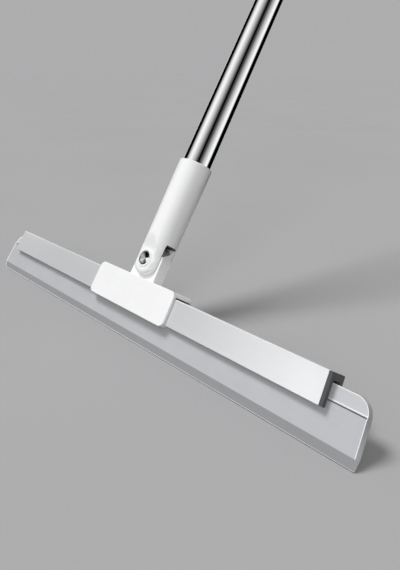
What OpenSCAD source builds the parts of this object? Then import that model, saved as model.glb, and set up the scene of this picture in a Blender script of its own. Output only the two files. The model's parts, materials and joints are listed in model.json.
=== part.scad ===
// Floor squeegee: a silicone blade in a rail, a clamp with a friction pivot and a three-piece pole.
// Modelled upright, with X along the blade, Y towards the rear and Z up the pole from the blade's lip.
// The whole part is then leaned back about the line where the lip meets the floor.

/* [Pose] */
// Angle by which the squeegee leans back from upright
lean = 33; // [0:1:60]

/* [Blade] */
// Length of the blade
blade_length = 452; // [300:1:600]
// Height of the blade from its lip to its top edge
blade_h = 40.9; // [38:0.1:60]
// Thickness of the lip that touches the floor
lip_t = 1.4; // [0.8:0.1:3]
// Height at which the bevels towards the lip begin
bevel_h = 7; // [3:0.5:14]
// Thickness of the lower zone
lower_t = 8; // [7:0.1:9]
// Thickness of the upper zone
upper_t = 6.6; // [4:0.1:6.8]
// Height of the ledge between the two zones
ledge_h = 31.7; // [28:0.1:33]
// Height of the thin groove under the ledge, from the ledge down to the groove's middle
groove_drop = 1.4; // [1.4:0.1:4]
// Width of the groove under the ledge
groove_w = 1; // [0.6:0.1:1.3]
// Depth of the groove under the ledge
groove_d = 0.7; // [0.3:0.1:1.2]
// Radius of the two top corners
blade_corner_r = 10; // [3:0.5:12]
// Thickness of the bead that hangs in the rail
bead_t = 8.2; // [7.6:0.1:8.6]
// Height of the bead
bead_h = 3; // [2:0.1:3.4]

/* [Rail] */
// Length by which the blade stands past the rail at its left end
left_overhang = 17; // [12:0.5:40]
// Length by which the blade stands past the rail at its right end
right_overhang = 26.5; // [12:0.5:40]
// Front to back depth of the rail
rail_depth = 19.5; // [18:0.1:24]
// Height of the rail
rail_h = 22.3; // [20:0.1:24]
// Thickness of the bar over the blade
rail_bar = 6.3; // [4:0.1:7]
// Wall of the hollow extrusion
rail_wall = 1; // [0.8:0.1:1.2]
// Radius of the rail's two long top edges
rail_edge_r = 0.9; // [0.3:0.1:0.95]
// Height of the lips that carry the blade's bead
rail_lip_h = 2.5; // [1.5:0.1:3]
// Gap between the blade and the rail beside each zone
blade_fit = 0.15; // [0.05:0.05:0.3]
// Gap between the rail and the blade's thick lower zone
ledge_clear = 0.4; // [0.2:0.05:0.6]

/* [End caps] */
// Thickness of an end cap's plate
cap_t = 2.6; // [2:0.1:6]
// Gap between the blade and an end cap
cap_gap = 1.4; // [0.5:0.1:1.6]
// Skin of the rail that surrounds the left end cap
cap_skin = 0.7; // [0.5:0.1:0.8]
// Length of the pegs that hold an end cap in the rail
peg_length = 14; // [6:1:30]
// Gap around an end cap and its pegs
cap_fit = 0.08; // [0.02:0.01:0.15]

/* [Clamp] */
// Width of the clamp along the rail
clamp_width = 104; // [80:1:140]
// Thickness of the clamp's front plate
clamp_front_t = 3; // [2.5:0.1:6]
// Thickness of the clamp's back plate
clamp_back_t = 2.4; // [2:0.1:5]
// Thickness of the clamp over the rail
clamp_top_t = 5; // [4:0.1:9]
// Thickness of the lips under the rail's legs
clamp_lip_t = 2.7; // [1.5:0.1:4]
// Radius of the clamp's corners
clamp_corner_r = 5; // [2:0.5:7]
// Gap between the clamp and the rail
clamp_fit = 0.1; // [0.05:0.01:0.2]
// Gap between the clamp's lips and the blade
clamp_blade_gap = 1; // [0.5:0.1:2]
// Height of the slit between the clamp and the top of the rail
slit_h = 1.2; // [0.6:0.1:2]
// Front to back width of the slit
slit_w = 12; // [5:0.5:15]
// Middle of the slit, towards the rear from the blade's middle
slit_y = -1.5; // [-2:0.1:2]

/* [Clamp screws] */
// Spacing of the two clamp screws
screw_spacing = 64; // [40:1:76]
// Diameter of a clamp screw
screw_d = 3.5; // [2.5:0.1:4]
// Length of a clamp screw under its head
screw_length = 5.6; // [4.5:0.1:6]
// Diameter of a clamp screw's head
screw_head_d = 7; // [5:0.1:9]
// Height of a clamp screw's head
screw_head_h = 2; // [1.5:0.1:3]
// Width of the cross in a clamp screw's head
screw_cross_w = 1; // [0.6:0.1:1.4]

/* [Pivot tab] */
// Height of the pivot above the clamp
pivot_rise = 17.1; // [15.6:0.1:22]
// Thickness of the tab
tab_t = 12; // [10:0.1:13]
// Radius of the tab's round top
tab_r = 16; // [14.4:0.1:17]
// Width of the tab where it meets the clamp
tab_base_w = 32.4; // [30:0.1:33]
// Distance by which the tab's flanks run inside its round top
tab_tuck = 0.15; // [0.05:0.05:0.5]

/* [Pivot] */
// Diameter of the pivot bolt
bolt_d = 7; // [5:0.1:8]
// Diameter of the bolt's head
bolt_head_d = 13; // [11:0.1:15]
// Height of the bolt's head
bolt_head_h = 2.4; // [1.8:0.1:3]
// Depth of the dish in the bolt's head
bolt_dish = 1.3; // [0.5:0.1:1.6]
// Diameter of the flat at the bottom of the dish
bolt_dish_d = 1.2; // [0.6:0.1:4]
// Radial clearance of the bolt in its bores
bolt_fit = 0.05; // [0.02:0.01:0.09]
// Wall of the bush in the tab
bush_wall = 1.5; // [1:0.1:2.5]
// Diameter of the friction washers
washer_d = 22; // [16:0.5:26]
// Thickness of a friction washer
washer_t = 0.7; // [0.5:0.1:1]
// Running gap between a friction washer and the tab
washer_play = 0.1; // [0.05:0.01:0.2]
// Width of the nut across its flats
nut_flats = 11; // [10:0.1:13]
// Thickness of the nut
nut_t = 4.5; // [3:0.1:5]
// Thickness of the spring washer
spring_t = 1; // [0.8:0.1:1.5]
// Outer diameter of the spring washer
spring_d = 10.4; // [9.6:0.1:11]
// Gap around the nut in its pocket
nut_fit = 0.1; // [0.05:0.01:0.2]

/* [Socket] */
// Length of the socket above the pivot
socket_length = 100; // [70:1:140]
// Outer diameter of the socket at its top
socket_top_d = 33.4; // [31:0.1:36]
// Outer diameter of the socket at the pivot
socket_low_d = 30.6; // [30:0.1:31]
// Radius of the socket's rim
rim_r = 0.8; // [0.3:0.1:1.4]
// Radius of the ears about the pivot
ear_r = 14.8; // [13:0.1:14.9]
// Radius of the front ear's outer edge
ear_round = 4.5; // [1:0.1:5]
// Distance of the flat face round the pivot from the socket's axis
face_y = 12.3; // [12:0.1:13]
// Height of that face above the pivot
face_rise = 10; // [9:0.5:12]
// Height over which that face runs out into the socket's side
face_run = 16; // [8:0.5:24]
// Gap between the tab's round top and the slot's root
slot_gap = 1.6; // [0.5:0.1:4]
// Corner radius of the slot's root
slot_corner_r = 2.5; // [1:0.1:4]
// Distance of the flat seat under the bolt's head from the socket's axis
seat_y = 10.4; // [9.8:0.1:11.5]
// Gap around the bolt's head in its ring
head_fit = 0.15; // [0.05:0.05:0.3]
// Wall of the raised ring around the bolt's head
ring_wall = 1.6; // [1.2:0.1:2.4]
// Distance by which the ring stands past the bolt's head
ring_lead = 0.1; // [0:0.05:0.5]
// Thickness of the rear ear under the spring washer
rear_ear_t = 2.6; // [2:0.1:3]
// Length of the tube inside the socket
tube_insert = 60; // [30:1:70]
// Gap between the tube and the socket's bore
tube_fit = 0.08; // [0.02:0.01:0.2]
// Diameter of the hollow under the tube
core_d = 20; // [10:0.5:24]
// Thickness of the floor between the slot and the hollow
core_floor = 6; // [4:0.5:10]

/* [Socket screw] */
// Height of the socket screw above the pivot
socket_screw_rise = 74; // [70:0.5:90]
// Diameter of the socket screw
socket_screw_d = 3; // [2:0.1:4]
// Length of the socket screw under its head
socket_screw_length = 6; // [4:0.1:9]
// Diameter of the socket screw's head
socket_head_d = 5.6; // [4.6:0.1:7]
// Height of the socket screw's head
socket_head_h = 1.6; // [1:0.1:2.5]
// Depth of the flat under the socket screw's head
socket_flat = 0.6; // [0.4:0.1:0.9]
// Radial clearance of the screws in their holes
screw_fit = 0.03; // [0.01:0.01:0.1]

/* [Pole] */
// Outer diameter of the tubes
tube_d = 28; // [24:0.1:28.4]
// Wall of the tubes
tube_wall = 0.8; // [0.6:0.1:1.5]
// Length of the lower tube
lower_tube_length = 420; // [200:1:600]
// Length of the middle tube
middle_tube_length = 340; // [200:1:600]
// Length of the upper tube
upper_tube_length = 340; // [200:1:600]

/* [Pole joints] */
// Diameter of the joint collars
collar_d = 28.8; // [28.6:0.1:32]
// Height of the collar on a sleeve
sleeve_collar_h = 4; // [2:0.1:8]
// Height of the collar on a plug
plug_collar_h = 3; // [2:0.1:8]
// Length of a sleeve or plug inside its tube
insert_length = 32; // [28:1:50]
// Gap between an insert and its tube
insert_fit = 0.08; // [0.02:0.01:0.2]
// Diameter of the screw stub on a plug
stub_d = 16; // [10:0.1:20]
// Length of the screw stub on a plug
stub_length = 24; // [12:1:26]
// Radial clearance of the stub in its sleeve
stub_fit = 0.1; // [0.05:0.01:0.2]
// Edge chamfer on the joint collars
collar_chamfer = 0.5; // [0.2:0.1:0.9]
// Diameter of the hollow in a plug or cap
plug_core_d = 20; // [14:0.5:22]
// Thickness of the floor of that hollow
plug_floor = 5; // [3:0.5:10]

/* [Hanging cap] */
// Diameter of the cap above the upper tube
hang_cap_d = 27.6; // [24:0.1:27.8]
// Height of the cap above the upper tube
hang_h = 30; // [24:0.5:45]
// Diameter of the hanging hole
hang_d = 9; // [6:0.1:12]
// Height of the hanging hole above the upper tube
hang_rise = 14; // [12:0.5:18]
// Radius of the cap's round shoulder
hang_round_r = 9; // [4:0.5:12]
// Length of the cap's plug inside the upper tube
hang_plug = 24; // [15:1:40]

/* [Hidden] */
$fn = 96;
// Overshoot of cutting shapes past the faces that they cut
over = 1;

// Heights above the lip, worked out from the blade upwards
bead_z = blade_h - bead_h;
lip_z = bead_z - rail_lip_h;
rail_cavity_z = blade_h + blade_fit;
rail_top = rail_cavity_z + rail_bar;
rail_bottom = rail_top - rail_h;
clamp_top = rail_top + clamp_top_t;
clamp_bottom = rail_bottom - clamp_fit - clamp_lip_t;
pivot_z = clamp_top + pivot_rise;
slot_root = pivot_z + tab_r + slot_gap;
socket_top = pivot_z + socket_length;
tube_z = socket_top - tube_insert;
lower_top = tube_z + lower_tube_length;
middle_z = lower_top + sleeve_collar_h + plug_collar_h;
middle_top = middle_z + middle_tube_length;
upper_z = middle_top + sleeve_collar_h + plug_collar_h;
upper_top = upper_z + upper_tube_length;

// Lengths along the rail
rail_length = blade_length - left_overhang - right_overhang;
rail_middle = (left_overhang - right_overhang) / 2;
bead_length = rail_length - 2 * cap_t - 2 * peg_length;

// Widths across the rail's channel
channel_w = lower_t + 2 * ledge_clear;
neck_w = upper_t + 2 * blade_fit;
bead_slot_w = max(bead_t + 2 * blade_fit, channel_w);
hollow_y = bead_slot_w / 2 + rail_wall;
hollow_w = rail_depth / 2 - rail_wall - hollow_y;

// Faces of the clamp across the rail
clamp_front_y = -(rail_depth / 2 + clamp_fit + clamp_front_t);
clamp_back_y = rail_depth / 2 + clamp_fit + clamp_back_t;
clamp_gap_w = lower_t + 2 * clamp_blade_gap;
clamp_screw_z = rail_bottom + rail_h / 2;

// Stack along the pivot bolt
washer_y = tab_t / 2 + washer_play;
ear_y = washer_y + washer_t;
bush_d = bolt_d + 2 * bolt_fit + 2 * bush_wall;
bolt_hole_d = bolt_d + 2 * bolt_fit;
head_pocket_d = bolt_head_d + 2 * head_fit;
ring_d = head_pocket_d + 2 * ring_wall;
ring_y = seat_y + bolt_head_h + ring_lead;
spring_y = ear_y + rear_ear_t;
nut_y = spring_y + spring_t;
nut_d = nut_flats / cos(30);
bolt_end_y = nut_y + nut_t;

// Insides of the tubes
tube_inner_d = tube_d - 2 * tube_wall;
insert_d = tube_inner_d - 2 * insert_fit;
stub_hole_d = stub_d + 2 * stub_fit;
socket_screw_z = pivot_z + socket_screw_rise;

WHITE = [0.93, 0.93, 0.94];
RAIL_WHITE = [0.84, 0.84, 0.86];
BLADE_GREY = [0.72, 0.73, 0.74];
DARK_GREY = [0.27, 0.27, 0.28];
STEEL = [0.75, 0.76, 0.78];
CHROME = [0.85, 0.86, 0.88];
PALE_GREY = [0.80, 0.80, 0.81];

// Leans an upright piece back about the rear edge of the blade's lip
module leaned() {
    rotate([-lean, 0, 0]) translate([0, -lip_t / 2, 0]) children();
}

// Extrudes a section drawn in Y and Z along the blade, centred
module along_x(length) {
    translate([-length / 2, 0, 0]) rotate([90, 0, 90]) linear_extrude(length) children();
}

// Extrudes an outline drawn in X and Z from one depth to another
module along_y(y_from, y_to) {
    translate([0, y_to, 0]) rotate([90, 0, 0]) linear_extrude(y_to - y_from) children();
}

// Cylinder along Y through the pivot's height
module pivot_cylinder(d, y_from, y_to, sides = $fn) {
    translate([0, y_to, pivot_z]) rotate([90, 0, 0]) cylinder(d = d, h = y_to - y_from, $fn = sides);
}

// Ring along Y through the pivot's height
module pivot_ring(d, hole_d, y_from, y_to) {
    difference() {
        pivot_cylinder(d, y_from, y_to);
        pivot_cylinder(hole_d, y_from - over, y_to + over);
    }
}

// Rectangle from one corner to the other
module box2d(x0, y0, x1, y1) {
    translate([x0, y0]) square([x1 - x0, y1 - y0]);
}

// Rectangle with round corners, from one corner to the other
module round_box2d(x0, y0, x1, y1, r) {
    box2d(x0 + r, y0, x1 - r, y1);
    box2d(x0, y0 + r, x1, y1 - r);
    for (x = [x0 + r, x1 - r], y = [y0 + r, y1 - r]) translate([x, y]) circle(r);
}

// Rectangle with only its two top corners round
module round_top2d(x0, y0, x1, y1, r) {
    box2d(x0, y0, x1, y1 - r);
    box2d(x0 + r, y1 - 2 * r, x1 - r, y1);
    for (x = [x0 + r, x1 - r]) translate([x, y1 - r]) circle(r);
}

// Half of the blade's section, on its rear side
function blade_half() =
    let (
        step = (lower_t - upper_t) / 2,
        groove_z = ledge_h - groove_drop
    ) [
        [lip_t / 2, 0],
        [lower_t / 2, bevel_h],
        [lower_t / 2, groove_z - groove_w / 2],
        [lower_t / 2 - groove_d, groove_z],
        [lower_t / 2, groove_z + groove_w / 2],
        [lower_t / 2, ledge_h - step],
        [upper_t / 2, ledge_h],
        [upper_t / 2, blade_h]
    ];

module blade_section() {
    half = blade_half();
    last = len(half) - 1;
    mirrored = [for (i = [last:-1:0]) [-half[i][0], half[i][1]]];
    polygon(concat(half, mirrored));
}

module blade() color(BLADE_GREY) {
    intersection() {
        along_x(blade_length) blade_section();
        along_y(-lower_t, lower_t)
            round_top2d(-blade_length / 2, -over, blade_length / 2, blade_h, blade_corner_r);
    }
    translate([rail_middle, 0, 0]) along_x(bead_length) box2d(-bead_t / 2, bead_z, bead_t / 2, blade_h);
}

// Channel in the rail for the blade, wide below, with lips under the bead
module channel_section() {
    box2d(-channel_w / 2, rail_bottom - over, channel_w / 2, lip_z);
    box2d(-neck_w / 2, lip_z - over, neck_w / 2, bead_z + over);
    box2d(-bead_slot_w / 2, bead_z, bead_slot_w / 2, rail_cavity_z);
}

// Hollow in the rail's legs and bar
module hollow_section() {
    low = rail_bottom + rail_wall;
    high = rail_top - rail_wall;
    for (side = [-1, 1]) translate([side * (hollow_y + hollow_w / 2), 0])
        box2d(-hollow_w / 2, low, hollow_w / 2, high);
    box2d(-hollow_y - over, rail_cavity_z + rail_wall, hollow_y + over, high);
}

// Opening in an end cap for the blade
module cap_opening() {
    side = lower_t / 2 + cap_gap;
    box2d(-side, rail_bottom - 2 * over, side, blade_h + cap_gap);
}

// Pocket in the rail's left end for a cap that sits inside the rail's skin
module cap_pocket() {
    side = rail_depth / 2 - cap_skin;
    box2d(-side, rail_bottom - over, side, rail_top - cap_skin);
}

module rail_outline() {
    round_top2d(-rail_depth / 2, rail_bottom, rail_depth / 2, rail_top, rail_edge_r);
}

// Extrusion of the rail about its own middle, cut for the two caps
module rail_profile() difference() {
    along_x(rail_length) rail_outline();
    along_x(rail_length + 2 * over) channel_section();
    along_x(rail_length + 2 * over) hollow_section();
    translate([-rail_length / 2, 0, 0]) along_x(2 * cap_t) cap_pocket();
    translate([rail_length / 2, 0, 0]) along_x(2 * cap_t)
        box2d(-rail_depth, rail_bottom - over, rail_depth, rail_top + over);
}

module rail() color(RAIL_WHITE) difference() {
    translate([rail_middle, 0, 0]) rail_profile();
    clamp_screw_holes();
}

// Plate of a cap at the rail's right end
module cap_plate() {
    translate([rail_length / 2 - cap_t / 2, 0, 0]) along_x(cap_t) difference() {
        children();
        cap_opening();
    }
}

// Two pegs of a cap in the hollow legs at the rail's right end
module cap_pegs() {
    peg_w = hollow_w - 2 * cap_fit;
    low = rail_bottom + rail_wall + cap_fit;
    high = rail_top - rail_wall - cap_fit;
    for (side = [-1, 1])
        translate([rail_length / 2 - cap_t - peg_length / 2, side * (hollow_y + hollow_w / 2), 0])
            along_x(peg_length + over) box2d(-peg_w / 2, low, peg_w / 2, high);
}

// Cap that covers the rail's right end, where the blade is changed
module end_cap_right() color(DARK_GREY) translate([rail_middle, 0, 0]) {
    cap_plate() rail_outline();
    cap_pegs();
}

// Cap that sits inside the rail's left end
module end_cap_left() color(DARK_GREY) translate([rail_middle, 0, 0]) mirror([1, 0, 0]) {
    side = rail_depth / 2 - cap_skin - cap_fit;
    cap_plate() box2d(-side, rail_bottom, side, rail_top - cap_skin - cap_fit);
    cap_pegs();
}

// Places children at each clamp screw, with Z pointing out of the rear face
module at_clamp_screws() {
    for (side = [-1, 1])
        translate([side * screw_spacing / 2, clamp_back_y, clamp_screw_z]) rotate([-90, 0, 0]) children();
}

module clamp_screw_holes() {
    at_clamp_screws() translate([0, 0, -screw_length - over])
        cylinder(d = screw_d + 2 * screw_fit, h = screw_length + 2 * over);
}

// Outline of the tab: a trapezoid whose flanks run just inside the round top
module tab_outline() {
    corner = [tab_base_w / 2, clamp_top];
    to_pivot = [0, pivot_z] - corner;
    distance = norm(to_pivot);
    flank_r = tab_r - tab_tuck;
    heading = atan2(to_pivot[1], to_pivot[0]) - asin(flank_r / distance);
    flank = sqrt(distance * distance - flank_r * flank_r);
    touch = corner + flank * [cos(heading), sin(heading)];
    translate([0, pivot_z]) circle(tab_r);
    polygon([
        [-corner[0], clamp_top - over],
        [corner[0], clamp_top - over],
        corner,
        touch,
        [-touch[0], touch[1]],
        [-corner[0], corner[1]]
    ]);
}

// Space in the clamp for the rail, with a slit over the rail's top
module clamp_cavity() {
    side = rail_depth / 2 + clamp_fit;
    box2d(-side, rail_bottom - clamp_fit, side, rail_top);
    box2d(-clamp_gap_w / 2, clamp_bottom - over, clamp_gap_w / 2, rail_bottom);
    box2d(slit_y - slit_w / 2, rail_top - over, slit_y + slit_w / 2, rail_top + slit_h);
}

module clamp() color(WHITE) difference() {
    union() {
        along_y(clamp_front_y, clamp_back_y)
            round_box2d(-clamp_width / 2, clamp_bottom, clamp_width / 2, clamp_top, clamp_corner_r);
        along_y(-tab_t / 2, tab_t / 2) tab_outline();
    }
    along_x(clamp_width + 2 * over) clamp_cavity();
    pivot_cylinder(bush_d, -tab_t, tab_t);
    clamp_screw_holes();
}

module clamp_screws() color(STEEL) at_clamp_screws() difference() {
    union() {
        translate([0, 0, -screw_length]) cylinder(d = screw_d, h = screw_length + over / 2);
        cylinder(d = screw_head_d, h = screw_head_h / 2);
        translate([0, 0, screw_head_h / 2])
            cylinder(d1 = screw_head_d, d2 = screw_head_d - screw_head_h, h = screw_head_h / 2);
    }
    for (turn = [0, 90]) rotate([0, 0, turn]) translate([0, 0, screw_head_h])
        cube([screw_head_d / 2, screw_cross_w, screw_head_h], center = true);
}

module pivot_bush() color(PALE_GREY) {
    pivot_ring(bush_d, bolt_hole_d, -tab_t / 2, tab_t / 2);
}

// Outside of the socket: a slim cone with a round rim, in radius and height
module socket_turning() {
    top_r = socket_top_d / 2 - rim_r;
    low_z = pivot_z - ear_r;
    slope = (socket_top_d - socket_low_d) / 2 / socket_length;
    rim_z = socket_top - rim_r;
    arc = [for (a = [0:15:90]) [top_r + rim_r * cos(a), rim_z + rim_r * sin(a)]];
    rotate_extrude() polygon(concat(
        [[0, low_z], [socket_low_d / 2 - slope * ear_r, low_z]],
        arc,
        [[0, socket_top]]
    ));
}

module slot_section() {
    low = pivot_z - ear_r - over;
    box2d(-ear_y, low, ear_y, slot_root - slot_corner_r);
    round_box2d(-ear_y, slot_root - 4 * slot_corner_r, ear_y, slot_root, slot_corner_r);
}

// Limits of the socket: ears about the pivot, with a round front edge, and all that lies above them
module ear_limits() {
    inner_r = ear_r - ear_round;
    inner_y = face_y - ear_round;
    arc = [for (a = [0:15:90]) [inner_r + ear_round * cos(a), inner_y + ear_round * sin(a)]];
    translate([0, 0, pivot_z]) rotate([90, 0, 0]) rotate_extrude() polygon(concat(
        [[0, -socket_top_d], [ear_r, -socket_top_d]],
        arc,
        [[0, face_y]]
    ));
    along_y(-socket_top_d, socket_top_d)
        box2d(-socket_top_d, pivot_z, socket_top_d, socket_top + over);
}

// Cut that leaves a flat face round the pivot and a slope up to the socket's side
module face_section() {
    flat_z = pivot_z + face_rise;
    polygon([
        [-socket_top_d, pivot_z - 2 * ear_r],
        [-face_y, pivot_z - 2 * ear_r],
        [-face_y, flat_z],
        [-socket_top_d / 2, flat_z + face_run],
        [-socket_top_d, flat_z + face_run]
    ]);
}

module socket_screw_hole() {
    translate([0, 0, socket_screw_z]) rotate([-90, 0, 0])
        cylinder(d = socket_screw_d + 2 * screw_fit, h = socket_top_d);
}

// Distance of the flat under the socket screw's head from the socket's axis
function socket_flat_y() =
    let (slope = (socket_top_d - socket_low_d) / 2 / socket_length)
    socket_low_d / 2 + slope * socket_screw_rise - socket_flat;

module socket() color(WHITE) difference() {
    union() {
        difference() {
            intersection() {
                socket_turning();
                ear_limits();
            }
            along_x(3 * socket_top_d) face_section();
        }
        pivot_cylinder(ring_d, -ring_y, -ear_y);
    }
    pivot_cylinder(ring_d, -socket_top_d, -ring_y);
    pivot_cylinder(head_pocket_d, -socket_top_d, -seat_y);
    along_x(3 * socket_top_d) slot_section();
    pivot_cylinder(bolt_hole_d, -socket_top_d, socket_top_d);
    pivot_cylinder(nut_d + 2 * nut_fit, spring_y, socket_top_d, 6);
    translate([0, 0, tube_z]) cylinder(d = tube_d + 2 * tube_fit, h = tube_insert + over);
    core_z = slot_root + core_floor;
    translate([0, 0, core_z]) cylinder(d = core_d, h = tube_z - core_z + over);
    socket_screw_hole();
    translate([0, socket_flat_y(), socket_screw_z]) rotate([-90, 0, 0])
        cylinder(d = socket_head_d + 4 * screw_fit, h = socket_top_d);
}

// Bolt turned about its own axis, with a dished head
module pivot_bolt() color(STEEL) {
    edge = bolt_head_h / 4;
    rim = bolt_head_d / 2 - 2 * edge;
    translate([0, -seat_y, pivot_z]) rotate([90, 0, 0]) rotate_extrude() polygon([
        [0, -seat_y - bolt_end_y],
        [bolt_d / 2, -seat_y - bolt_end_y],
        [bolt_d / 2, 0],
        [bolt_head_d / 2, 0],
        [bolt_head_d / 2, bolt_head_h - edge],
        [bolt_head_d / 2 - edge, bolt_head_h],
        [rim, bolt_head_h],
        [bolt_dish_d / 2, bolt_head_h - bolt_dish],
        [0, bolt_head_h - bolt_dish]
    ]);
}

module friction_washer_front() color(DARK_GREY) {
    pivot_ring(washer_d, bolt_hole_d, -ear_y, -washer_y);
}

module friction_washer_rear() color(DARK_GREY) {
    pivot_ring(washer_d, bolt_hole_d, washer_y, ear_y);
}

module spring_washer() color(STEEL) difference() {
    pivot_ring(spring_d, bolt_hole_d, spring_y, nut_y);
    translate([spring_d / 2, spring_y, pivot_z])
        cube([spring_d, 4 * spring_t, spring_t], center = true);
}

module pivot_nut() color(STEEL) difference() {
    pivot_cylinder(nut_d, nut_y, nut_y + nut_t, 6);
    pivot_cylinder(bolt_hole_d, nut_y - over, nut_y + nut_t + over);
}

module socket_screw() color(STEEL)
    translate([0, socket_flat_y(), socket_screw_z]) rotate([-90, 0, 0]) difference() {
        union() {
            translate([0, 0, -socket_screw_length])
                cylinder(d = socket_screw_d, h = socket_screw_length + over / 2);
            cylinder(d = socket_head_d, h = socket_head_h / 2);
            translate([0, 0, socket_head_h / 2]) cylinder(
                d1 = socket_head_d, d2 = socket_head_d - socket_head_h, h = socket_head_h / 2);
        }
        for (turn = [0, 90]) rotate([0, 0, turn]) translate([0, 0, socket_head_h])
            cube([socket_head_d / 2, screw_cross_w, socket_head_h], center = true);
    }

// Steel tube standing on a given height
module tube(z, length) {
    color(CHROME) translate([0, 0, z]) difference() {
        cylinder(d = tube_d, h = length);
        translate([0, 0, -over]) cylinder(d = tube_inner_d, h = length + 2 * over);
    }
}

module lower_tube() difference() {
    tube(tube_z, lower_tube_length);
    socket_screw_hole();
}

module middle_tube() {
    tube(middle_z, middle_tube_length);
}

module upper_tube() {
    tube(upper_z, upper_tube_length);
}

// Collar with a chamfer on both edges, standing on a given height
module collar(z, h) {
    r = collar_d / 2;
    translate([0, 0, z]) rotate_extrude() polygon([
        [0, 0],
        [r - collar_chamfer, 0],
        [r, collar_chamfer],
        [r, h - collar_chamfer],
        [r - collar_chamfer, h],
        [0, h]
    ]);
}

// Threaded sleeve in the top of the tube that ends at a given height
module joint_sleeve(tube_top) {
    color(PALE_GREY) difference() {
        union() {
            translate([0, 0, tube_top - insert_length]) cylinder(d = insert_d, h = insert_length + over);
            collar(tube_top, sleeve_collar_h);
        }
        translate([0, 0, tube_top - insert_length - over])
            cylinder(d = stub_hole_d, h = insert_length + sleeve_collar_h + 2 * over);
    }
}

// Threaded plug in the foot of the tube that begins at a given height
module joint_plug(tube_foot) {
    face = tube_foot - plug_collar_h;
    color(PALE_GREY) difference() {
        union() {
            translate([0, 0, tube_foot - over]) cylinder(d = insert_d, h = insert_length + over);
            collar(face, plug_collar_h);
            translate([0, 0, face - stub_length]) cylinder(d = stub_d, h = stub_length + over);
        }
        translate([0, 0, tube_foot + plug_floor]) cylinder(d = plug_core_d, h = insert_length);
    }
}

module lower_joint_sleeve() {
    joint_sleeve(lower_top);
}

module lower_joint_plug() {
    joint_plug(middle_z);
}

module upper_joint_sleeve() {
    joint_sleeve(middle_top);
}

module upper_joint_plug() {
    joint_plug(upper_z);
}

module hanging_cap() color(WHITE) difference() {
    r = hang_cap_d / 2;
    shoulder = hang_h - hang_round_r;
    arc = [for (a = [0:10:90]) [r - hang_round_r + hang_round_r * cos(a), shoulder + hang_round_r * sin(a)]];
    translate([0, 0, upper_top]) rotate_extrude() polygon(concat(
        [[0, -hang_plug], [insert_d / 2, -hang_plug], [insert_d / 2, 0], [r, 0]],
        arc,
        [[0, hang_h]]
    ));
    translate([0, hang_cap_d, upper_top + hang_rise]) rotate([90, 0, 0])
        cylinder(d = hang_d, h = 2 * hang_cap_d);
    translate([0, 0, upper_top - hang_plug - over]) cylinder(d = plug_core_d, h = hang_plug + over);
}

leaned() blade();
leaned() rail();
leaned() end_cap_left();
leaned() end_cap_right();
leaned() clamp();
leaned() clamp_screws();
leaned() pivot_bush();
leaned() socket();
leaned() pivot_bolt();
leaned() friction_washer_front();
leaned() friction_washer_rear();
leaned() spring_washer();
leaned() pivot_nut();
leaned() socket_screw();
leaned() lower_tube();
leaned() lower_joint_sleeve();
leaned() lower_joint_plug();
leaned() middle_tube();
leaned() upper_joint_sleeve();
leaned() upper_joint_plug();
leaned() upper_tube();
leaned() hanging_cap();
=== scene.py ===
"""Floor squeegee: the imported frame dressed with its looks, under plain studio light."""
import json
import math

import bmesh
import bpy
from mathutils import Matrix, Vector


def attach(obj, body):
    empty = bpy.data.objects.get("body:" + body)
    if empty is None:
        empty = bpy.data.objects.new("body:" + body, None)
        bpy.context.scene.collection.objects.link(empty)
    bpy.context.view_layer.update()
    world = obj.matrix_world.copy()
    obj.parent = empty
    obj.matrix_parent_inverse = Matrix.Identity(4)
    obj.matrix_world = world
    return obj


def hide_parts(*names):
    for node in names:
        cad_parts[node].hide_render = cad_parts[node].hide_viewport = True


MM = 0.001

# Camera: place in metres, angles in degrees, image size and principal point in pixels
CAMERA_PLACE = (0.3512, -0.2603, 0.2318)
CAMERA_TURN = 44.495
CAMERA_PITCH = -8.444
CAMERA_ROLL = 0.614
IMAGE_H = 570
FOCAL_PX = 516.94
PRINCIPAL_ROW = 150
SENSOR = 36.0

# Light levels, as the share of white that each lends a facing white surface
SKY_LEVEL = 0.33
KEY_LEVEL = 0.685
FILL_LEVEL = 0.275
KEY_FROM = (-0.32, -0.3, 0.9)
KEY_SOFTNESS = 20.0
FILL_FROM = (0.48, -0.66, 0.56)
FILL_SOFTNESS = 30.0

# Floor and backdrop
BACKDROP = (0.42, 0.42, 0.427, 1)
FLOOR_LIGHT = (0.385, 0.385, 0.391, 1)
FLOOR_DARK = (0.372, 0.372, 0.378, 1)
FLOOR_BOUNCE = (0.2, 0.2, 0.2, 1)
FLOOR_RADIUS = 60.0
FLOOR_SIDES = 96

# Screens that polished surfaces mirror: place and sizes in metres, how bright each one is, and the share of
# that at some bearings, in degrees about its centre
POLE_SCREEN = {
    "radius": 0.3, "height": (0.12, 1.3), "centre": (0.0, 0.0), "level": 1.05,
    "glow": ((-216, 0.9), (-205, 0.9), (-195, 0.0), (-150, 0.0), (-125, 0.75), (-106, 1.0), (-58, 0.15),
             (-46, 0.0), (-38, 0.0), (-22, 0.1), (28, 1.0), (41, 0.9), (52, 0.0), (122, 0.0), (132, 0.9),
             (144, 0.9))}
RAIL_SCREEN = {
    "radius": 0.58, "height": (0.1, 0.45), "centre": (0.0, 0.14), "level": 2.4,
    "glow": ((206, 0.0), (240, 0.0), (252, 0.35), (264, 1.0), (280, 1.0))}
BOLT_FLAG_LOW = {
    "radius": 0.57, "height": (0.0, 0.18), "centre": (0.0, 0.14), "level": 1.0,
    "glow": ((222, 0.0), (248, 0.0))}
BOLT_FLAG_HIGH = {
    "radius": 0.57, "height": (0.37, 1.2), "centre": (0.0, 0.14), "level": 1.0,
    "glow": ((200, 0.0), (236, 0.0))}
BOLT_CARD = {
    "radius": 0.56, "height": (0.155, 0.3), "centre": (0.0, 0.14), "level": 1.4,
    "glow": ((190, 1.0), (212, 1.0))}
SCREEN_STEPS = 180

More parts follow.
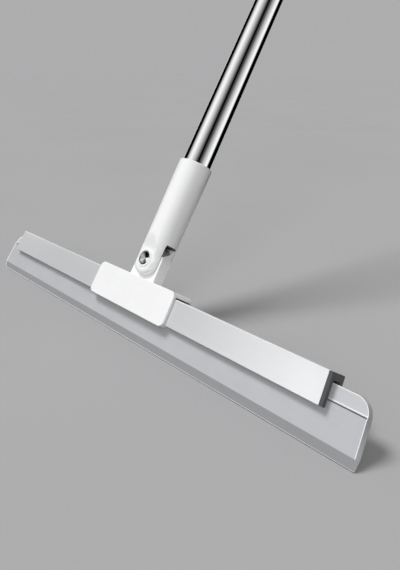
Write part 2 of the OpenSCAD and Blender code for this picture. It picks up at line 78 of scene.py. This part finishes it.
# Blade outline, the heights between which its ends are painted paler as if more lit, and the width of the
# painted rim highlight along it at each end
BLADE_LENGTH = 452 * MM
BLADE_TOP = 40.9 * MM
BLADE_CORNER = 10 * MM
LEDGE = 31.7 * MM
GROOVE = 30.3 * MM
BEVEL = 7 * MM
LIT_ENDS_FROM = 28 * MM
LIT_ENDS_BELOW = 10 * MM
RIM_LEFT = 1.5 * MM
RIM_RIGHT = 0.6 * MM

# Painted highlight along the rail's top edges
RAIL_TOP = 47.35 * MM
RAIL_HIGHLIGHT = 0.9 * MM

# Painted shade in the rail's hollow: half its depth and two heights. Those of the mouldings have also how
# they rise towards the back, and the painted shade inside
RAIL_HOLLOW_SHADE = (5.6 * MM, 20 * MM, 42.4 * MM)
CLAMP_HOLLOW_SHADE = (9.86 * MM, 24.8 * MM, 48.6 * MM, 0.0, 0.05)
TAB_TOP_SHADE = (6.2 * MM, 78.5 * MM, 90.0 * MM, 0.45, 0.22)
SOCKET_SLOT_SHADE = (6.7 * MM, 54.0 * MM, 87.15 * MM, 0.0, 0.15)

# Pivot bolt: height of the head, radius of the shank, the ring of the socket round the head, and its sides
BOLT_HEAD_H = 2.4 * MM
BOLT_SHANK_R = 3.5 * MM
BOLT_RING = 3 * MM
BOLT_SIDES = 96

# Edge rounding and shading
BLADE_ROUND = 0.2 * MM
CLAMP_FACE_ROUND = 0.6 * MM
CLAMP_FACE_DEPTH = 1.5 * MM
CLAMP_ROUND = 0.12 * MM
SOCKET_ROUND = 0.25 * MM
WELD = 0.002 * MM
FLAT_ANGLE = math.radians(0.6)
SHARP_ANGLE = math.radians(32)
BLADE_ANGLE = math.radians(14)
CREASE_ANGLE = math.radians(40)
ROUND_STEPS = 3

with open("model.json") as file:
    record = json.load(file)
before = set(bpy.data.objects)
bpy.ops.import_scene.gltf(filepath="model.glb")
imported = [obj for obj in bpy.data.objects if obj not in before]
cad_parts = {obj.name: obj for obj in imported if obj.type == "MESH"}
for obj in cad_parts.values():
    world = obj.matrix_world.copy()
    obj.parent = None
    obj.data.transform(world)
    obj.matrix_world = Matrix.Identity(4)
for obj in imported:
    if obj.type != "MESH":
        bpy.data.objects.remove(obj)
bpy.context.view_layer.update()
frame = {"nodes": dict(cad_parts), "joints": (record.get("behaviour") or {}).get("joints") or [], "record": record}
nodes = frame["nodes"]
lean_axis = Vector(frame["joints"][0]["axis"])
LEAN = math.atan2(-lean_axis.z, lean_axis.y)
LIP_SHIFT = 0.7 * MM
LEANED = Matrix.Rotation(-LEAN, 4, "X") @ Matrix.Translation((0, -LIP_SHIFT, 0))
UPRIGHT = LEANED.inverted()


def add_node(tree, kind, inputs=None, **settings):
    """A shader node with its settings and its inputs, each a value or another node's output."""
    node = tree.nodes.new("ShaderNode" + kind)
    for key, value in settings.items():
        setattr(node, key, value)
    for key, value in (inputs or {}).items():
        if isinstance(value, bpy.types.NodeSocket):
            tree.links.new(value, node.inputs[key])
        else:
            node.inputs[key].default_value = value
    return node


def new_look(name):
    look = bpy.data.materials.new(name)
    look.use_nodes = True
    return look, look.node_tree, look.node_tree.nodes["Principled BSDF"]


def own_place(tree):
    return add_node(tree, "TexCoord").outputs["Object"]


def place_of(tree):
    """The point being shaded, in the part's upright frame."""
    turn = {"Vector": own_place(tree), "Location": (0, LIP_SHIFT, 0), "Rotation": (LEAN, 0, 0)}
    return add_node(tree, "Mapping", turn, vector_type="POINT").outputs["Vector"]


def axes_of(tree, place):
    return add_node(tree, "SeparateXYZ", {0: place}).outputs


def noise(tree, place, scale, detail=2.0, stretch=(1, 1, 1)):
    """Noise from 0 to 1 with about `scale` blobs a metre, drawn out along an axis by a small stretch."""
    spread = add_node(tree, "VectorMath", {0: place, 1: stretch}, operation="MULTIPLY")
    return add_node(tree, "TexNoise", {
        "Vector": spread.outputs[0], "Scale": scale, "Detail": detail, "Roughness": 0.55}).outputs["Fac"]


def levels(tree, value, low, high, to_low=0.0, to_high=1.0):
    """A value spread from one range to another, and kept within it."""
    ends = {"Value": value, "From Min": low, "From Max": high, "To Min": to_low, "To Max": to_high}
    return add_node(tree, "MapRange", ends).outputs["Result"]


def maths(tree, operation, first, second):
    return add_node(tree, "Math", {0: first, 1: second}, operation=operation).outputs[0]


def both(tree, first, second):
    """1 where two masks are both 1."""
    return maths(tree, "MULTIPLY", first, second)


def either(tree, first, second):
    """1 where one mask or another is 1."""
    return maths(tree, "MAXIMUM", first, second)


def blend(tree, factor, first, second):
    """A colour between two others."""
    mixed = add_node(tree, "Mix", {"Factor": factor, "A": first, "B": second}, data_type="RGBA")
    return mixed.outputs["Result"]


def bump(tree, height, strength, distance, under=None):
    inputs = {"Height": height, "Strength": strength, "Distance": distance}
    if under is not None:
        inputs["Normal"] = under
    return add_node(tree, "Bump", inputs).outputs["Normal"]


def edge_mask(tree):
    """1 on the faces made by rounding the edges, 0 elsewhere."""
    return add_node(tree, "Attribute", attribute_name="edge").outputs["Fac"]


def finish_look(tree, shader, colour, roughness, normal):
    tree.links.new(colour, shader.inputs["Base Color"])
    tree.links.new(roughness, shader.inputs["Roughness"])
    tree.links.new(normal, shader.inputs["Normal"])


def band(tree, value, low, high, soft=0.1 * MM):
    """1 where a length lies between two others."""
    above = levels(tree, value, low - soft, low + soft)
    below = levels(tree, value, high + soft, high - soft)
    return both(tree, above, below)


def painted_blade_rim(tree, place):
    """1 where a highlight is painted: along the outline of the blade's front and back, and on the ledge.

    The bevel's right end has none.
    """
    half, top = BLADE_LENGTH / 2 - BLADE_CORNER, BLADE_TOP - BLADE_CORNER
    axes = axes_of(tree, place)
    along = maths(tree, "SUBTRACT", maths(tree, "ABSOLUTE", axes["X"], 0), half)
    rise = maths(tree, "SUBTRACT", axes["Z"], top)
    squares = [maths(tree, "POWER", maths(tree, "MAXIMUM", side, 0), 2) for side in (along, rise)]
    reach = maths(tree, "SQRT", maths(tree, "ADD", *squares), 0)
    width = levels(tree, axes["X"], -BLADE_LENGTH / 2, BLADE_LENGTH / 2, RIM_LEFT, RIM_RIGHT)
    outline = maths(tree, "GREATER_THAN", maths(tree, "ADD", reach, width), BLADE_CORNER)
    right = maths(tree, "GREATER_THAN", axes["X"], 0)
    bevel = both(tree, maths(tree, "LESS_THAN", axes["Z"], BEVEL), right)
    outline = maths(tree, "SUBTRACT", outline, bevel)
    lip = maths(tree, "LESS_THAN", axes["Z"], maths(tree, "MULTIPLY", width, 0.75))
    ledge = band(tree, axes["Z"], LEDGE - 0.4 * MM, LEDGE + 0.15 * MM)
    # painted highlight: the outline, the lip's bottom edge and the ledge
    rim = either(tree, either(tree, outline, lip), ledge)
    return both(tree, rim, edge_mask(tree))


def silicone_look():
    look, tree, shader = new_look("silicone")
    place = place_of(tree)
    cloud = noise(tree, place, 55, 3)
    flow = noise(tree, place, 700, 2, (0.03, 1, 1))
    grain = noise(tree, place, 2600, 2)
    colour = blend(tree, levels(tree, cloud, 0.3, 0.7), (0.476, 0.481, 0.5, 1), (0.5, 0.505, 0.524, 1))
    # painted light: a paler tone for the parts painted as if more lit
    lit_tone = blend(tree, levels(tree, cloud, 0.3, 0.7), (0.55, 0.555, 0.577, 1), (0.578, 0.583, 0.605, 1))
    height = axes_of(tree, place)["Z"]
    # painted light: front and back above the ledge painted paler, as if more lit
    upper_zone_lit = levels(tree, height, LEDGE + 0.1 * MM, LEDGE + 0.3 * MM)
    colour = blend(tree, both(tree, upper_zone_lit, edge_mask(tree)), colour, lit_tone)
    colour = blend(tree, levels(tree, flow, 0.45, 0.8, 0, 0.25), colour, (0.442, 0.447, 0.464, 1))
    # painted shade on the down-facing bevel, mottled with wear
    bevel = levels(tree, height, BEVEL + 0.1 * MM, BEVEL - 0.1 * MM)
    bevel_shade_and_wear = both(tree, bevel, levels(tree, grain, 0.2, 0.8, 0.7, 1))
    colour = blend(tree, bevel_shade_and_wear, colour, (0.37, 0.375, 0.389, 1))
    # painted light: the ends and the lip painted paler towards the bottom, as if more lit
    ends = maths(tree, "SUBTRACT", 1.0, edge_mask(tree))
    ends = both(tree, ends, levels(tree, height, LIT_ENDS_FROM, LIT_ENDS_BELOW))
    colour = blend(tree, ends, colour, blend(tree, 0.6, lit_tone, (0.95, 0.955, 0.98, 1)))
    # painted shadow: a dark line in the groove under the ledge
    groove_shadow = both(tree, band(tree, height, GROOVE - 0.35 * MM, GROOVE + 0.4 * MM), edge_mask(tree))
    colour = blend(tree, maths(tree, "MULTIPLY", groove_shadow, 0.8), colour, (0.1, 0.1, 0.105, 1))
    # painted highlight along the rim, lip and ledge
    colour = blend(tree, painted_blade_rim(tree, place), colour, (0.84, 0.845, 0.85, 1))
    roughness = levels(tree, cloud, 0.3, 0.7, 0.5, 0.62)
    normal = bump(tree, flow, 0.25, 0.05 * MM)
    normal = bump(tree, grain, 0.3, 0.06 * MM, normal)
    finish_look(tree, shader, colour, roughness, normal)
    shader.inputs["Subsurface Weight"].default_value = 0.12
    shader.inputs["Subsurface Radius"].default_value = (1, 1, 1)
    shader.inputs["Subsurface Scale"].default_value = 1.5 * MM
    return look


def inside(tree, place, half_depth, low, high, rise=0.0):
    """1 inside a channel along the blade, from half its depth, two heights and their rise to the back."""
    axes = axes_of(tree, place)
    depth = levels(tree, maths(tree, "ABSOLUTE", axes["Y"], 0), half_depth + 0.02 * MM, half_depth)
    height = maths(tree, "SUBTRACT", axes["Z"], maths(tree, "MULTIPLY", axes["Y"], rise))
    return both(tree, depth, band(tree, height, low, high, 0.02 * MM))


def rail_look():
    look, tree, shader = new_look("rail_white")
    place = place_of(tree)
    streak = noise(tree, place, 1100, 3, (0.012, 1, 1))
    cloud = noise(tree, place, 30, 2)
    fleck = noise(tree, place, 4200, 1)
    colour = blend(tree, levels(tree, streak, 0.3, 0.7), (0.698, 0.702, 0.72, 1), (0.718, 0.722, 0.74, 1))
    colour = blend(tree, levels(tree, fleck, 0.6, 0.8, 0, 0.3), colour, (0.77, 0.775, 0.79, 1))
    height = axes_of(tree, place)["Z"]
    # painted highlight along the top edge and on the rounded edges
    top_edge_highlight = levels(tree, height, RAIL_TOP - RAIL_HIGHLIGHT, RAIL_TOP - RAIL_HIGHLIGHT / 2)
    bright = maths(tree, "MULTIPLY", either(tree, edge_mask(tree), top_edge_highlight), 0.9)
    colour = blend(tree, bright, colour, (0.95, 0.952, 0.96, 1))
    # painted shade inside the rail's hollow
    colour = blend(tree, inside(tree, place, *RAIL_HOLLOW_SHADE), colour, (0.04, 0.04, 0.042, 1))
    dull = levels(tree, cloud, 0.3, 0.7, 0, 0.05)
    roughness = maths(tree, "ADD", levels(tree, streak, 0.3, 0.7, 0.3, 0.36), dull)
    normal = bump(tree, streak, 0.06, 0.02 * MM)
    normal = bump(tree, fleck, 0.1, 0.02 * MM, normal)
    finish_look(tree, shader, colour, roughness, normal)
    shader.inputs["Metallic"].default_value = 0.3
    return look


def white_look(name, hollows=()):
    """White moulding, with painted shade inside its hollows."""
    look, tree, shader = new_look(name)
    place = place_of(tree)
    cloud = noise(tree, place, 40, 2)
    grain = noise(tree, place, 1900, 2)
    scuff = noise(tree, place, 160, 2)
    colour = blend(tree, levels(tree, cloud, 0.3, 0.7), (0.895, 0.897, 0.902, 1), (0.92, 0.922, 0.926, 1))
    colour = blend(tree, levels(tree, scuff, 0.6, 0.8, 0, 0.1), colour, (0.83, 0.83, 0.84, 1))
    for half_depth, low, high, rise, shade in hollows:
        # painted shade inside each hollow
        painted_shade_mask = inside(tree, place, half_depth, low, high, rise)
        colour = blend(tree, painted_shade_mask, colour, (shade, shade, shade, 1))
    dull = levels(tree, grain, 0.3, 0.7, 0, 0.04)
    roughness = maths(tree, "ADD", levels(tree, scuff, 0.4, 0.8, 0.27, 0.33), dull)
    normal = bump(tree, cloud, 0.05, 0.1 * MM)
    normal = bump(tree, grain, 0.08, 0.03 * MM, normal)
    finish_look(tree, shader, colour, roughness, normal)
    shader.inputs["Subsurface Weight"].default_value = 0.05
    shader.inputs["Subsurface Radius"].default_value = (1, 1, 1)
    shader.inputs["Subsurface Scale"].default_value = 1 * MM
    return look


def dark_look():
    look, tree, shader = new_look("dark_plastic")
    place = place_of(tree)
    grain = noise(tree, place, 1500, 3)
    cloud = noise(tree, place, 90, 2)
    colour = blend(tree, levels(tree, cloud, 0.3, 0.7), (0.06, 0.061, 0.063, 1), (0.08, 0.081, 0.083, 1))
    wear = both(tree, edge_mask(tree), levels(tree, grain, 0.35, 0.7, 0.3, 0.8))
    colour = blend(tree, wear, colour, (0.14, 0.14, 0.145, 1))
    roughness = levels(tree, grain, 0.3, 0.7, 0.45, 0.6)
    normal = bump(tree, grain, 0.5, 0.08 * MM)
    finish_look(tree, shader, colour, roughness, normal)
    return look


def pale_look():
    look, tree, shader = new_look("pale_plastic")
    place = place_of(tree)
    cloud = noise(tree, place, 80, 2)
    grain = noise(tree, place, 1700, 2)
    colour = blend(tree, levels(tree, cloud, 0.3, 0.7), (0.66, 0.662, 0.668, 1), (0.72, 0.722, 0.728, 1))
    roughness = levels(tree, grain, 0.3, 0.7, 0.34, 0.44)
    normal = bump(tree, grain, 0.15, 0.04 * MM)
    finish_look(tree, shader, colour, roughness, normal)
    return look


def steel_look():
    look, tree, shader = new_look("steel")
    place = place_of(tree)
    brushed = noise(tree, place, 2500, 2, (0.1, 1, 1))
    cloud = noise(tree, place, 350, 2)
    colour = blend(tree, levels(tree, cloud, 0.3, 0.7), (0.58, 0.585, 0.595, 1), (0.66, 0.665, 0.675, 1))
    roughness = levels(tree, brushed, 0.3, 0.7, 0.2, 0.32)
    normal = bump(tree, brushed, 0.2, 0.02 * MM)
    finish_look(tree, shader, colour, roughness, normal)
    shader.inputs["Metallic"].default_value = 1
    return look


def spun_look():
    """Steel turned on a lathe: fine rings about the piece's own axis and a highlight that fans out."""
    look, tree, shader = new_look("spun_steel")
    place = own_place(tree)
    rings = add_node(tree, "TexWave", {
        "Vector": place, "Scale": 900, "Distortion": 0.6, "Detail": 1, "Detail Scale": 2},
        wave_type="RINGS", rings_direction="Z").outputs["Fac"]
    cloud = noise(tree, place, 400, 2)
    colour = blend(tree, levels(tree, cloud, 0.3, 0.7), (0.66, 0.665, 0.675, 1), (0.74, 0.745, 0.755, 1))
    roughness = levels(tree, rings, 0, 1, 0.09, 0.14)
    normal = bump(tree, rings, 0.03, 0.02 * MM)
    finish_look(tree, shader, colour, roughness, normal)
    tangent = add_node(tree, "Tangent", direction_type="RADIAL", axis="Z").outputs["Tangent"]
    tree.links.new(tangent, shader.inputs["Tangent"])
    shader.inputs["Metallic"].default_value = 1
    shader.inputs["Anisotropic"].default_value = 0.3
    return look


def chrome_look():
    look, tree, shader = new_look("chrome_tube")
    place = place_of(tree)
    drawn = noise(tree, place, 600, 2, (1, 1, 0.01))
    smudge = noise(tree, place, 35, 3)
    colour = blend(tree, levels(tree, smudge, 0.4, 0.75), (0.93, 0.932, 0.938, 1), (0.89, 0.892, 0.9, 1))
    dull = levels(tree, drawn, 0.3, 0.7, 0, 0.02)
    roughness = maths(tree, "ADD", levels(tree, smudge, 0.4, 0.8, 0.05, 0.08), dull)
    normal = bump(tree, drawn, 0.02, 0.005 * MM)
    finish_look(tree, shader, colour, roughness, normal)
    shader.inputs["Metallic"].default_value = 1
    return look


def seen_rays(tree):
    """1 for rays that show the background: straight from the camera, mirrored or through glass."""
    path = add_node(tree, "LightPath").outputs
    seen = either(tree, path["Is Camera Ray"], path["Is Glossy Ray"])
    return either(tree, seen, path["Is Transmission Ray"])


def floor_look():
    look, tree, shader = new_look("floor")
    place = place_of(tree)
    cloud = noise(tree, place, 3, 3)
    grain = noise(tree, place, 900, 2)
    colour = blend(tree, levels(tree, cloud, 0.3, 0.7), FLOOR_DARK, FLOOR_LIGHT)
    colour = blend(tree, seen_rays(tree), FLOOR_BOUNCE, colour)
    roughness = levels(tree, grain, 0.3, 0.7, 0.85, 0.95)
    normal = bump(tree, grain, 0.05, 0.05 * MM)
    finish_look(tree, shader, colour, roughness, normal)
    shader.inputs["Specular IOR Level"].default_value = 0.1
    return look


def upright_copy(node):
    """A node's mesh as an editable one, welded and free of flat seams, in the part's upright frame."""
    bm = bmesh.new()
    bm.from_mesh(nodes[node].data)
    bm.transform(UPRIGHT)
    bmesh.ops.remove_doubles(bm, verts=bm.verts, dist=WELD)
    bmesh.ops.dissolve_limit(bm, angle_limit=FLAT_ANGLE, verts=bm.verts, edges=bm.edges)
    bm.faces.layers.float.new("edge")
    return bm


def soften(bm, radius, chosen=None, angle=SHARP_ANGLE):
    """Round the sharp outward edges, all of them or the chosen ones, and mark the new faces."""
    outward = [edge for edge in bm.edges if edge.is_manifold and edge.is_convex]
    sharp = [edge for edge in outward if edge.calc_face_angle() > angle]
    if chosen is not None:
        sharp = [edge for edge in sharp if chosen(edge)]
    made = bmesh.ops.bevel(bm, geom=sharp, offset=radius, offset_type="OFFSET", segments=ROUND_STEPS,
                           profile=0.5, affect="EDGES", clamp_overlap=False)
    layer = bm.faces.layers.float["edge"]
    for face in made["faces"]:
        face[layer] = 1


def add_piece(name, bm, body, look, replaced, matrix=None):
    """A finished piece from a mesh in the upright frame, or in its own frame where a matrix is given."""
    if matrix is None:
        bm.transform(LEANED)
    mesh = bpy.data.meshes.new(name)
    bm.to_mesh(mesh)
    bm.free()
    mesh.polygons.foreach_set("use_smooth", [True] * len(mesh.polygons))
    mesh.set_sharp_from_angle(angle=CREASE_ANGLE)
    mesh.materials.append(look)
    piece = bpy.data.objects.new(name, mesh)
    piece.matrix_world = matrix or Matrix.Identity(4)
    bpy.context.scene.collection.objects.link(piece)
    even = piece.modifiers.new("even_normals", "WEIGHTED_NORMAL")
    even.keep_sharp = True
    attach(piece, body)
    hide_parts(*replaced)
    return piece


def lathe(profile, sides):
    """A closed turned shape about Z from (radius, height) pairs that start and end on the axis."""
    bm = bmesh.new()
    rings = []
    for radius, height in profile:
        count = sides if radius else 1
        turns = [2 * math.pi * step / sides for step in range(count)]
        places = [(radius * math.cos(turn), radius * math.sin(turn), height) for turn in turns]
        rings.append([bm.verts.new(place) for place in places])
    for low, high in zip(rings, rings[1:]):
        for step in range(sides):
            after = (step + 1) % sides
            below = [low[step % len(low)], low[after % len(low)]]
            above = [high[after % len(high)], high[step % len(high)]]
            bm.faces.new(list(dict.fromkeys(below + above)))
    bmesh.ops.recalc_face_normals(bm, faces=bm.faces)
    return bm


def upright_box(node):
    points = [UPRIGHT @ vertex.co for vertex in nodes[node].data.vertices]
    low = Vector([min(point[axis] for point in points) for axis in range(3)])
    high = Vector([max(point[axis] for point in points) for axis in range(3)])
    return low, high


def add_bolt(look):
    """Pivot bolt: turned head with a bright rim and a spun dish."""
    low, high = upright_box("pivot_bolt")
    head_r = (high.x - low.x) / 2
    head_h = BOLT_HEAD_H
    shank_r = BOLT_SHANK_R
    tip = head_h - (high.y - low.y)
    profile = [
        (0, tip), (shank_r - 0.5 * MM, tip), (shank_r, tip + 0.5 * MM), (shank_r, 0),
        (head_r - 0.2 * MM, 0), (head_r, 0.2 * MM), (head_r, head_h - 0.5 * MM),
        (head_r - 0.15 * MM, head_h - 0.15 * MM), (head_r - 0.5 * MM, head_h),
        (head_r - 0.9 * MM, head_h), (head_r - 1 * MM, head_h - 0.12 * MM),
        (head_r - 1.1 * MM, head_h - 0.3 * MM), (0.8 * MM, head_h - 1.3 * MM),
        (0.35 * MM, head_h - 1.42 * MM), (0, head_h - 1.44 * MM),
    ]
    seat = Matrix.Translation((0, low.y + head_h, (low.z + high.z) / 2))
    matrix = LEANED @ seat @ Matrix.Rotation(math.pi / 2, 4, "X")
    turned = lathe(profile, BOLT_SIDES)
    add_piece("turned_pivot_bolt", turned, "pole", look, ["pivot_bolt"], matrix)


def add_copies(looks):
    """The nodes that show, with their edges rounded: name, body, slot and radius in millimetres."""
    plain = (
        ("rail", "head", "rail_white", 0.1),
        ("end_cap_left", "head", "dark_plastic", 0.1),
        ("end_cap_right", "head", "dark_plastic", 0.1),
        ("clamp_screws", "head", "steel", 0.1),
        ("pivot_nut", "pole", "steel", 0.2),
        ("socket_screw", "pole", "steel", 0.1),
        ("lower_tube", "pole", "chrome_tube", 0.15),
        ("middle_tube", "pole", "chrome_tube", 0.15),
        ("upper_tube", "pole", "chrome_tube", 0.15),
        ("hanging_cap", "pole", "white_plastic", 0.3),
    )
    for node, body, slot, radius in plain:
        bm = upright_copy(node)
        soften(bm, radius * MM)
        add_piece("finished_" + node, bm, body, looks[slot], [node])


def add_blade(look):
    """Blade: all its creases rounded, with its front and back marked for the painted rim highlight."""
    bm = upright_copy("blade")
    soften(bm, BLADE_ROUND, angle=BLADE_ANGLE)
    layer = bm.faces.layers.float["edge"]
    for face in bm.faces:
        ledge = face.normal.z > 0.6 and face.calc_center_median().z < LEDGE + 1 * MM
        face[layer] = 1 if ledge or abs(face.normal.y) > 0.35 else 0
    add_piece("finished_blade", bm, "head", look, ["blade"])


def add_clamp(look):
    """Clamp moulding: a generous radius round its front face, a fine one elsewhere."""
    bm = upright_copy("clamp")
    front = min(vertex.co.y for vertex in bm.verts)
    soften(bm, CLAMP_FACE_ROUND, lambda edge: all(v.co.y < front + 0.01 * MM for v in edge.verts))
    soften(bm, CLAMP_ROUND, lambda edge: all(v.co.y > front + CLAMP_FACE_DEPTH for v in edge.verts))
    add_piece("finished_clamp", bm, "head", look, ["clamp"])


def add_socket(look):
    """Socket moulding: rounded along its slot, ears and rim, clear of the bolt's ring."""
    low, high = upright_box("pivot_bolt")
    pivot_z = (low.z + high.z) / 2
    keep = (high.x - low.x) / 2 + BOLT_RING
    bm = upright_copy("socket")

    def clear(edge):
        return all(math.hypot(v.co.x, v.co.z - pivot_z) > keep for v in edge.verts)
    soften(bm, SOCKET_ROUND, clear)
    add_piece("finished_socket", bm, "pole", look, ["socket"])


def dress(looks):
    """The look of its slot on each node, also those that no finished piece replaces."""
    for part in frame["record"]["subparts"]:
        nodes[part["node"]].material_slots[0].material = looks[part["material_slot"]]


def add_camera():
    data = bpy.data.cameras.new("camera")
    data.sensor_width = SENSOR
    data.lens = FOCAL_PX / IMAGE_H * SENSOR
    data.shift_y = (PRINCIPAL_ROW - IMAGE_H / 2) / IMAGE_H
    data.clip_start = 0.01
    data.clip_end = 200
    camera = bpy.data.objects.new("camera", data)
    turn = Matrix.Rotation(math.radians(CAMERA_TURN), 4, "Z")
    pitch = Matrix.Rotation(math.radians(90 + CAMERA_PITCH), 4, "X")
    roll = Matrix.Rotation(math.radians(CAMERA_ROLL), 4, "Z")
    camera.matrix_world = Matrix.Translation(CAMERA_PLACE) @ turn @ pitch @ roll
    bpy.context.scene.collection.objects.link(camera)
    bpy.context.scene.camera = camera


def add_lamp(name, source, level, softness):
    """A far lamp that lends a facing white surface the given share of white, unseen in mirrors."""
    light = bpy.data.lights.new(name, "SUN")
    light.energy = level * math.pi
    light.angle = math.radians(softness)
    lamp = bpy.data.objects.new(name, light)
    lamp.rotation_euler = Vector(source).to_track_quat("Z", "Y").to_euler()
    lamp.visible_glossy = False
    bpy.context.scene.collection.objects.link(lamp)


def add_world():
    world = bpy.data.worlds.new("studio")
    world.use_nodes = True
    tree = world.node_tree
    colour = blend(tree, seen_rays(tree), (SKY_LEVEL, SKY_LEVEL, SKY_LEVEL, 1), BACKDROP)
    tree.links.new(colour, tree.nodes["Background"].inputs["Color"])
    bpy.context.scene.world = world


def add_stage(name, bm, look):
    mesh = bpy.data.meshes.new(name)
    bm.to_mesh(mesh)
    bm.free()
    mesh.materials.append(look)
    stage = bpy.data.objects.new(name, mesh)
    bpy.context.scene.collection.objects.link(stage)
    return stage


def add_floor():
    bm = bmesh.new()
    bmesh.ops.create_circle(bm, cap_ends=True, segments=FLOOR_SIDES, radius=FLOOR_RADIUS)
    add_stage("floor", bm, floor_look())


def screen_look(name, screen):
    """Screen whose glow runs across it through the given bearings and levels."""
    look, tree, shader = new_look(name)
    glow = screen["glow"]
    start, end = glow[0][0], glow[-1][0]
    ramp = add_node(tree, "ValToRGB", {
        "Fac": add_node(tree, "Attribute", attribute_name="across").outputs["Fac"]})
    stops = ramp.color_ramp.elements
    while len(stops) < len(glow):
        stops.new(1.0)
    for stop, (bearing, level) in zip(stops, glow):
        stop.position = (bearing - start) / (end - start)
        stop.color = (level, level, level, 1)
    lit = add_node(tree, "Emission", {"Color": ramp.outputs["Color"], "Strength": screen["level"]})
    tree.nodes.remove(shader)
    tree.links.new(lit.outputs[0], tree.nodes["Material Output"].inputs["Surface"])
    return look


def add_screen(name, screen, matrix):
    """Curved screen that only mirrored rays see."""
    bm = bmesh.new()
    layer = bm.verts.layers.float.new("across")
    start, end = screen["glow"][0][0], screen["glow"][-1][0]
    rows = []
    for step in range(SCREEN_STEPS + 1):
        share = step / SCREEN_STEPS
        turn = math.radians(start + (end - start) * share)
        x = screen["centre"][0] + screen["radius"] * math.cos(turn)
        y = screen["centre"][1] + screen["radius"] * math.sin(turn)
        row = [bm.verts.new((x, y, height)) for height in screen["height"]]
        for vertex in row:
            vertex[layer] = share
        rows.append(row)
    for (low, high), (next_low, next_high) in zip(rows, rows[1:]):
        bm.faces.new((low, next_low, next_high, high))
    stage = add_stage(name, bm, screen_look(name, screen))
    stage.matrix_world = matrix
    stage.visible_camera = False
    stage.visible_diffuse = False
    stage.visible_shadow = False


looks = {
    "silicone": silicone_look(),
    "rail_white": rail_look(),
    "white_plastic": white_look("white_plastic"),
    "dark_plastic": dark_look(),
    "pale_plastic": pale_look(),
    "steel": steel_look(),
    "chrome_tube": chrome_look(),
}
add_camera()
add_world()
add_lamp("key", KEY_FROM, KEY_LEVEL, KEY_SOFTNESS)
add_lamp("fill", FILL_FROM, FILL_LEVEL, FILL_SOFTNESS)
add_floor()
add_screen("pole_screen", POLE_SCREEN, LEANED)
add_screen("rail_screen", RAIL_SCREEN, Matrix.Identity(4))
add_screen("bolt_flag_low", BOLT_FLAG_LOW, Matrix.Identity(4))
add_screen("bolt_flag_high", BOLT_FLAG_HIGH, Matrix.Identity(4))
add_screen("bolt_card", BOLT_CARD, Matrix.Identity(4))
dress(looks)
add_copies(looks)
add_blade(looks["silicone"])
add_clamp(white_look("clamp_white", (CLAMP_HOLLOW_SHADE, TAB_TOP_SHADE)))
add_socket(white_look("socket_white", (SOCKET_SLOT_SHADE,)))
add_bolt(spun_look())
bpy.context.scene.view_settings.view_transform = "Standard"
